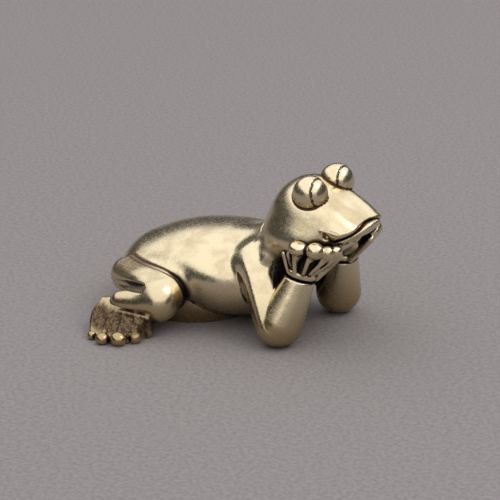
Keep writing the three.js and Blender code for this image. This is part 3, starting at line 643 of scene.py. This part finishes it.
def aged_brass():
    tree = Tree("aged_brass")
    place = tree.add("TexCoord").outputs["Object"]
    cloud = tree.noise(260, 4, vector=place)
    speck = tree.noise(1900, 3, 0.7, vector=place)
    blotch = tree.noise(1900, 4, 0.75, vector=place)
    grain = tree.noise(5200, 2, 0.6, vector=place)
    streak = tree.add("Mapping", {"Vector": place, "Rotation": (0.4, 0.9, 0.3), "Scale": (0.07, 1, 1)})
    scratch = tree.noise(4200, 2, 0.5, vector=streak.outputs[0])
    crevice, hollow, recess = (tree.attribute(n) for n in ("crevice", "hollow", "recess"))
    ragged = tree.scaled(speck, 0.5, -0.25)
    grooved = tree.math("ADD", crevice, ragged)
    patina = tree.math("MAXIMUM", tree.step(grooved, 0.3, 0.62), tree.step(crevice, 0.3, 0.5))
    dull = tree.step(tree.math("ADD", hollow, ragged), 0.38, 0.8)
    # Painted shade: black at the bottom of the deepest hollows, faded out from the eyes upwards, and the
    # painted black shade behind the fronts of the fingers.
    shade_below_eyes = tree.step(tree.attribute("height"), 16.5, 19.5, 1, 0.12)
    deep = tree.step(tree.math("ADD", recess, tree.math("MULTIPLY", ragged, 0.6)), 0.42, 0.68)
    deep = tree.math("MAXIMUM", tree.math("MULTIPLY", deep, shade_below_eyes), tree.attribute("finger_shade"))
    # The web's dark patina, and a dark reflection painted as shade on the hips: both turn the colour towards
    # tarnish, patina and black below.
    left = tree.attribute("web_patina_and_hip_shade")
    spots = tree.step(blotch, 0.44, 0.56)
    speckled = tree.math("MULTIPLY", left, tree.scaled(spots, 0.35, 0.5))
    dull = tree.math("MAXIMUM", dull, left)
    patina = tree.math("MAXIMUM", patina, tree.math("MULTIPLY", speckled, 0.95))
    dark_web_patina_and_hip_shade = tree.math("MULTIPLY", left, tree.step(blotch, 0.44, 0.56, 0.35, 0.75))
    deep = tree.math("MAXIMUM", deep, dark_web_patina_and_hip_shade)
    tarnish_and_low_shade = tree.math("MULTIPLY", tree.step(cloud, 0.42, 0.7), 0.4)
    # Painted shade: the lowest parts take the tarnish colour, standing in for the warm floor that they
    # reflect.
    low = tree.math("MULTIPLY", tree.step(tree.attribute("height"), 1, 11, 1, 0), 0.75)
    tarnish_and_low_shade = tree.math("MAXIMUM", tree.math("MAXIMUM", tarnish_and_low_shade, low), tree.math("MULTIPLY", dull, 0.9))
    colour = tree.blend(tarnish_and_low_shade, BRASS, TARNISH_AND_LOW_SHADE)
    colour = tree.blend(patina, colour, PATINA)
    colour = tree.blend(deep, colour, BLACK_SHADE_AND_PATINA)
    covered = tree.math("MAXIMUM", patina, deep)
    metal = tree.math("SUBTRACT", 1.0, tree.math("MULTIPLY", covered, 0.55))
    rough = tree.step(speck, 0.35, 0.75, 0.2, 0.32)
    rough = tree.math("ADD", rough, tree.math("MULTIPLY", covered, 0.3))
    relief = tree.math("ADD", tree.math("MULTIPLY", speck, 0.6), tree.math("MULTIPLY", grain, 0.3))
    relief = tree.math("ADD", relief, tree.math("MULTIPLY", scratch, 0.3))
    bump = tree.add("Bump", {"Strength": 0.25, "Distance": 0.00006, "Height": relief})
    shader = tree.add("BsdfPrincipled", {
        "Base Color": colour, "Metallic": metal, "Roughness": rough, "Normal": bump.outputs[0],
    })
    out = tree.add("OutputMaterial")
    tree.links.new(shader.outputs[0], out.inputs[0])
    return tree.material


def pale_floor():
    tree = Tree("pale_floor")
    place = tree.add("TexCoord").outputs["Object"]
    fibre = tree.noise(1400, 4, 0.7, vector=place)
    colour = tree.blend(tree.step(fibre, 0.3, 0.7), shade(124, 118, 118), shade(144, 138, 138))
    bump = tree.add("Bump", {"Strength": 0.2, "Distance": 0.0001, "Height": fibre})
    shader = tree.add("BsdfPrincipled", {"Base Color": colour, "Roughness": 0.9, "Normal": bump.outputs[0]})
    out = tree.add("OutputMaterial")
    tree.links.new(shader.outputs[0], out.inputs[0])
    return tree.material


def add_object(name, data):
    made = bpy.data.objects.new(name, data)
    bpy.context.scene.collection.objects.link(made)
    return made


def floor():
    half = 1.5
    mesh = bpy.data.meshes.new("floor")
    corners = [(-half, -half, 0), (half, -half, 0), (half, half, 0), (-half, half, 0)]
    mesh.from_pydata(corners, [], [(0, 1, 2, 3)])
    made = add_object("floor", mesh)
    mesh.materials.append(pale_floor())


# The camera's bearing and height are the photo's. Its place is given along its own axes.
VIEW_TURN, VIEW_RISE = math.radians(34), math.radians(20)
CAMERA_RIGHT, CAMERA_UP, CAMERA_BACK = -9.048, 12.222, 360.3
FOCAL_PIXELS, FRAME_PIXELS, SENSOR = 2270, 500, 36


def look_axes(turn, rise):
    right = vec(math.cos(turn), math.sin(turn), 0)
    back = vec(math.sin(turn) * math.cos(rise), -math.cos(turn) * math.cos(rise), math.sin(rise))
    return right, np.cross(back, right), back


def matrix_of(right, up, back, at):
    rows = [(*axis, place) for axis, place in zip(np.stack([right, up, back], 1), at)]
    return Matrix([*rows, (0, 0, 0, 1)])


def camera(shift):
    right, up, back = look_axes(VIEW_TURN, VIEW_RISE)
    at = right * CAMERA_RIGHT + up * CAMERA_UP + back * CAMERA_BACK + shift
    data = bpy.data.cameras.new("camera")
    data.lens = FOCAL_PIXELS / FRAME_PIXELS * SENSOR
    data.sensor_width = SENSOR
    data.clip_start = 0.01
    made = add_object("camera", data)
    made.matrix_world = matrix_of(right, up, back, at * MM)
    bpy.context.scene.camera = made


# The lamps: rise and turn in degrees from the level and from the view, sizes in metres.
LAMPS = (
    dict(name="overhead", turn=0, rise=90, distance=0.5, aside=-0.185, width=1.6, depth=2.37, radiance=1.2),
    dict(name="key", turn=75, rise=55, distance=1, aside=0, width=0.5, depth=0.5, radiance=2.2),
    dict(name="front", turn=0, rise=10, distance=2, aside=0, width=3, depth=1, radiance=0.36),
)
WORLD_STRENGTH = 0.22


def softbox(name, turn, rise, distance, aside, width, depth, radiance):
    """A rectangular lamp over the frog, turned from the view and moved aside along its own plane."""
    right, up, back = look_axes(VIEW_TURN + math.radians(turn), math.radians(rise))
    data = bpy.data.lights.new(name, "AREA")
    data.shape = "RECTANGLE"
    data.size, data.size_y = width, depth
    data.energy = radiance * math.pi * width * depth
    made = add_object(name, data)
    made.matrix_world = matrix_of(right, up, back, back * distance + up * aside)


def surroundings():
    world = bpy.data.worlds.new("studio")
    bpy.context.scene.world = world
    world.use_nodes = True
    background = world.node_tree.nodes["Background"]
    background.inputs["Color"].default_value = shade(150, 148, 146)
    background.inputs["Strength"].default_value = WORLD_STRENGTH
    for lamp in LAMPS:
        softbox(**lamp)


floor()
mesh, shift = cast_frog()
piece = add_object("frog_cast", mesh)
mesh.materials.append(aged_brass())
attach(piece, "root")
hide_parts("frog")
camera(shift)
surroundings()
bpy.context.scene.view_settings.view_transform = "Standard"
